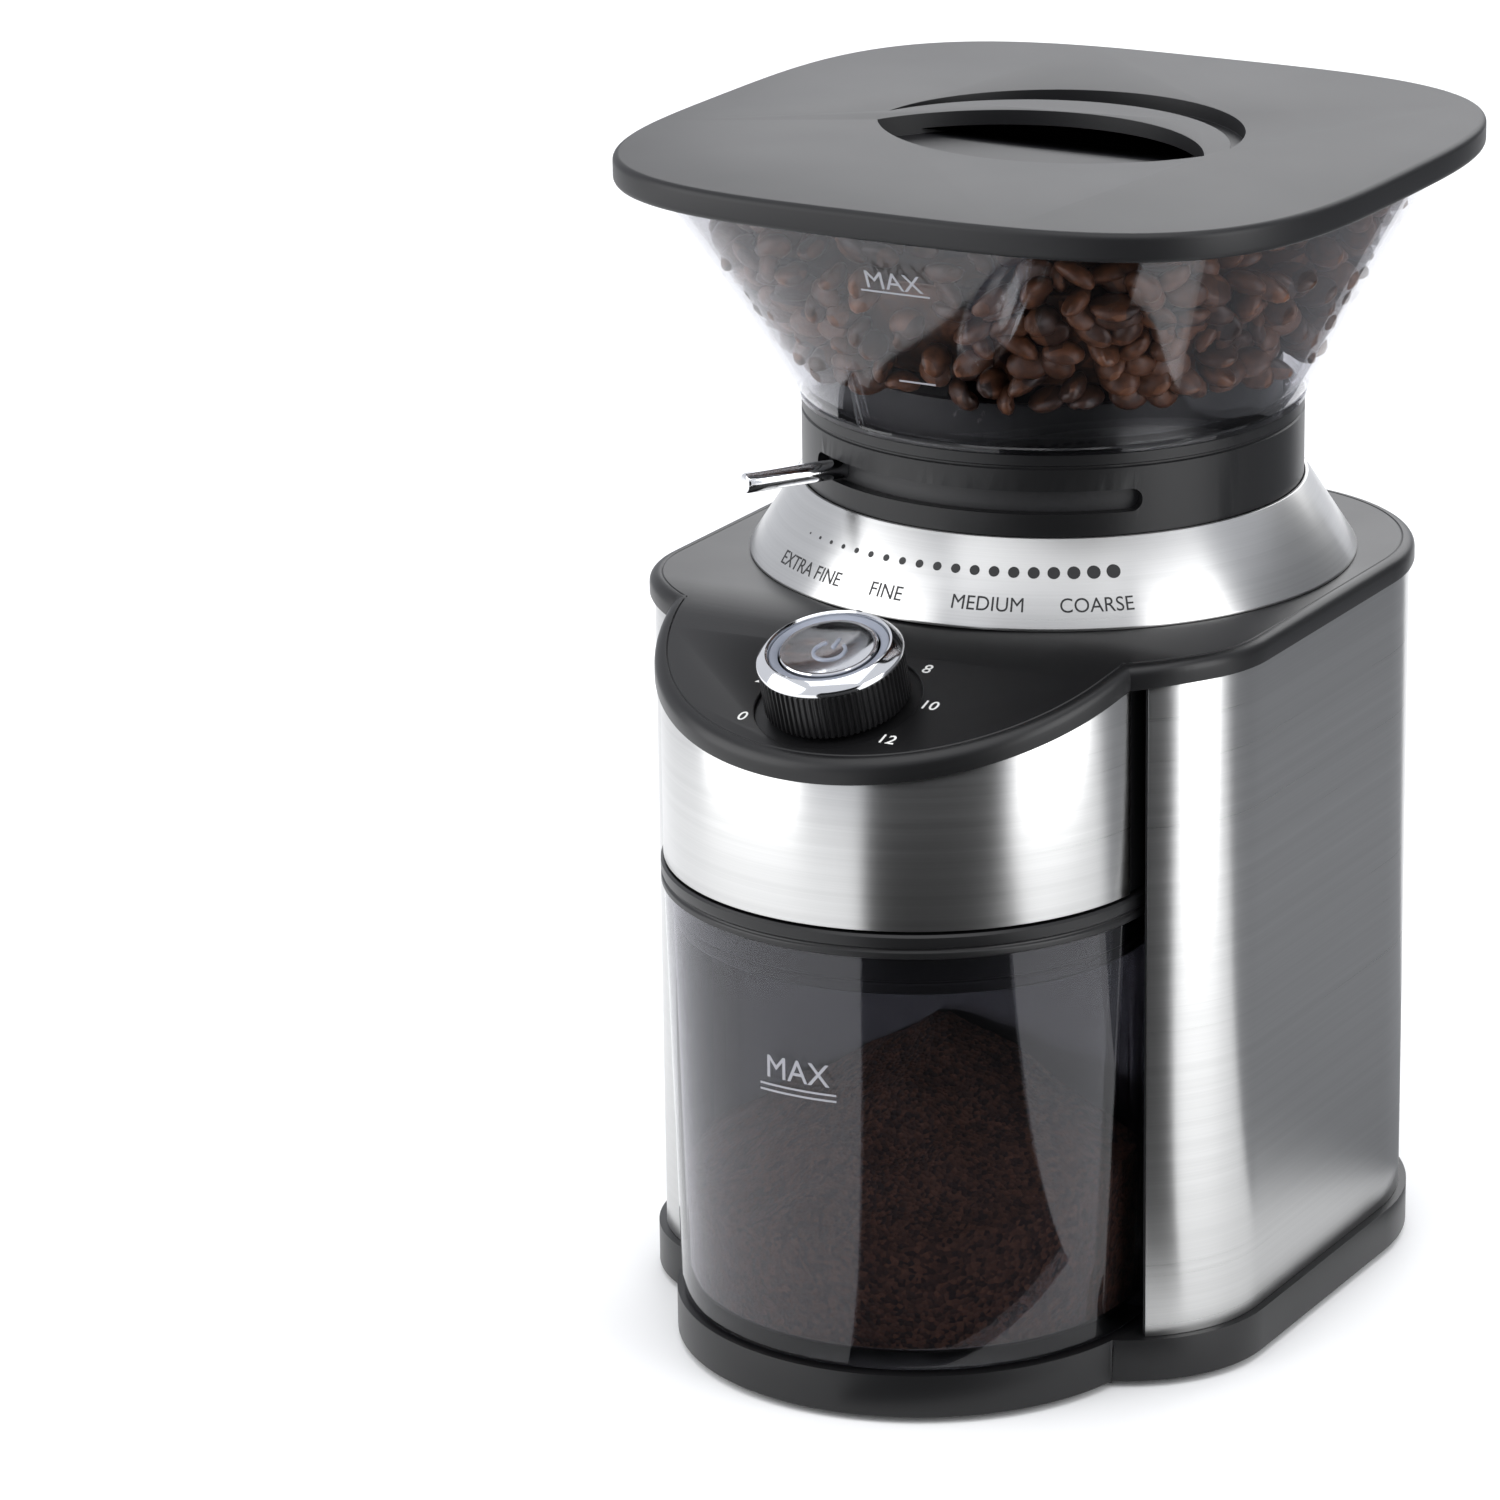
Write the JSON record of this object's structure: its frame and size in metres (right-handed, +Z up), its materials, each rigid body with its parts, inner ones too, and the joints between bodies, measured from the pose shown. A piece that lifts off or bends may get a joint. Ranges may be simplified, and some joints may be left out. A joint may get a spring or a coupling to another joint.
{
  "type": "burr coffee grinder",
  "caption": "Conical burr coffee grinder with a lift-off bean hopper, stepped grind lever, timer knob with start button, and a pull-out grounds container.",
  "frame": {"origin": "on the table, under the middle of the bounding box", "axes": "+Z up, the container and the control knob face -Y, +X is to the right of someone facing the container"},
  "size_m": [0.174, 0.21, 0.265],
  "materials": {
    "black_abs": "satin moulded black ABS",
    "black_pp": "plain moulded polypropylene",
    "rubber": "soft matt rubber",
    "steel_sheet": "fine brushed stainless sheet",
    "machined_steel": "turned and ground steel",
    "plated_steel": "zinc plated",
    "aluminium": "die cast, as cast",
    "bronze": "sintered bronze",
    "motor_steel": "zinc plated drawn steel",
    "magnet": "sintered ferrite",
    "core": "lacquered laminations",
    "copper": "turned copper",
    "board": "solder-masked laminate",
    "electronics": "moulded component bodies",
    "brush_block": "phenolic moulding",
    "gear_nylon": "natural acetal",
    "smoky_clear": "smoky clear moulded plastic",
    "chrome": "bright chrome plating",
    "trim_grey": "translucent grey plastic",
    "switch_cream": "plain moulding"
  },
  "bodies": {
    "housing": {"base": "black_abs", "rubber_feet": "rubber", "chassis": "black_pp", "body_wrap": "steel_sheet", "front_panel": "steel_sheet", "front_housing": "black_abs", "top_cover": "black_abs", "cone_skirt": "steel_sheet", "collar": "black_abs", "grind_chamber": "aluminium", "chute": "black_pp", "gearbox_housing": "black_pp", "gearbox_cover": "black_pp", "upper_bearing": "machined_steel", "lower_bush": "bronze", "idler_pin": "machined_steel", "motor_can": "motor_steel", "motor_end_bell": "black_pp", "motor_magnets": "magnet", "motor_bush": "bronze", "brush_holders": "brush_block", "control_board": "board", "board_parts": "electronics", "timer_body": "black_pp", "start_switch": "switch_cream", "cord_gland": "rubber", "base_screws": "plated_steel", "gearbox_screws": "plated_steel", "chamber_screws": "plated_steel", "motor_screws": "plated_steel"},
    "hopper": {"hopper": "smoky_clear", "hopper_seat": "black_abs"},
    "lid": {"lid": "black_abs"},
    "adjuster": {"adjust_ring": "black_pp", "lever_pin": "chrome"},
    "carrier": {"burr_carrier": "black_pp", "ring_burr": "machined_steel", "burr_screws": "plated_steel"},
    "burr_drive": {"burr_shaft": "machined_steel", "cone_burr": "machined_steel", "burr_nut": "plated_steel", "impeller": "black_pp", "output_gear": "gear_nylon"},
    "idler": {"idler_gear": "gear_nylon"},
    "rotor": {"rotor_shaft": "machined_steel", "rotor_core": "core", "commutator": "copper"},
    "knob": {"knob": "black_abs", "knob_trim": "trim_grey"},
    "start_button": {"start_button": "chrome"},
    "container": {"container": "smoky_clear", "container_lid": "black_abs"}
  },
  "joints": [
    {"name": "hopper_lift", "type": "slide", "parent": "housing", "child": "hopper", "axis": [0, 0, 1], "range_m": [0, 0.06]},
    {"name": "lid_lift", "type": "slide", "parent": "hopper", "child": "lid", "axis": [0, 0, 1], "range_m": [0, 0.05]},
    {"name": "grind_lever", "type": "hinge", "parent": "housing", "child": "adjuster", "pos_m": [0, 0.018, 0.1947], "axis": [0, 0, 1], "range_deg": [0, 72]},
    {"name": "burr_height", "type": "slide", "parent": "housing", "child": "carrier", "axis": [0, 0, 1], "range_m": [0, 0.0013], "stiffness_N_per_m": 300, "springref_m": 0.00707},
    {"name": "burr_spin", "type": "hinge", "parent": "housing", "child": "burr_drive", "pos_m": [0, 0.018, 0.16], "axis": [0, 0, 1], "continuous": true},
    {"name": "idler_spin", "type": "hinge", "parent": "housing", "child": "idler", "pos_m": [0.02843, 0.03842, 0.12], "axis": [0, 0, 1], "continuous": true},
    {"name": "motor_spin", "type": "hinge", "parent": "housing", "child": "rotor", "pos_m": [0, 0.048, 0.07], "axis": [0, 0, 1], "continuous": true},
    {"name": "timer_knob", "type": "hinge", "parent": "housing", "child": "knob", "pos_m": [0, -0.0827, 0.15991], "axis": [0, -0.2924, 0.9563], "range_deg": [-122, 122]},
    {"name": "start_press", "type": "slide", "parent": "housing", "child": "start_button", "axis": [0, 0.2924, -0.9563], "range_m": [0, 0.0015], "stiffness_N_per_m": 400, "springref_m": -0.001},
    {"name": "container_pull", "type": "slide", "parent": "housing", "child": "container", "axis": [0, -1, 0], "range_m": [0, 0.1]}
  ],
  "couplings": [
    {"joint": "burr_height", "follows": "grind_lever", "m_per_rad": 0.00095493},
    {"joint": "idler_spin", "follows": "motor_spin", "ratio": -0.25},
    {"joint": "burr_spin", "follows": "motor_spin", "ratio": 0.083333}
  ]
}
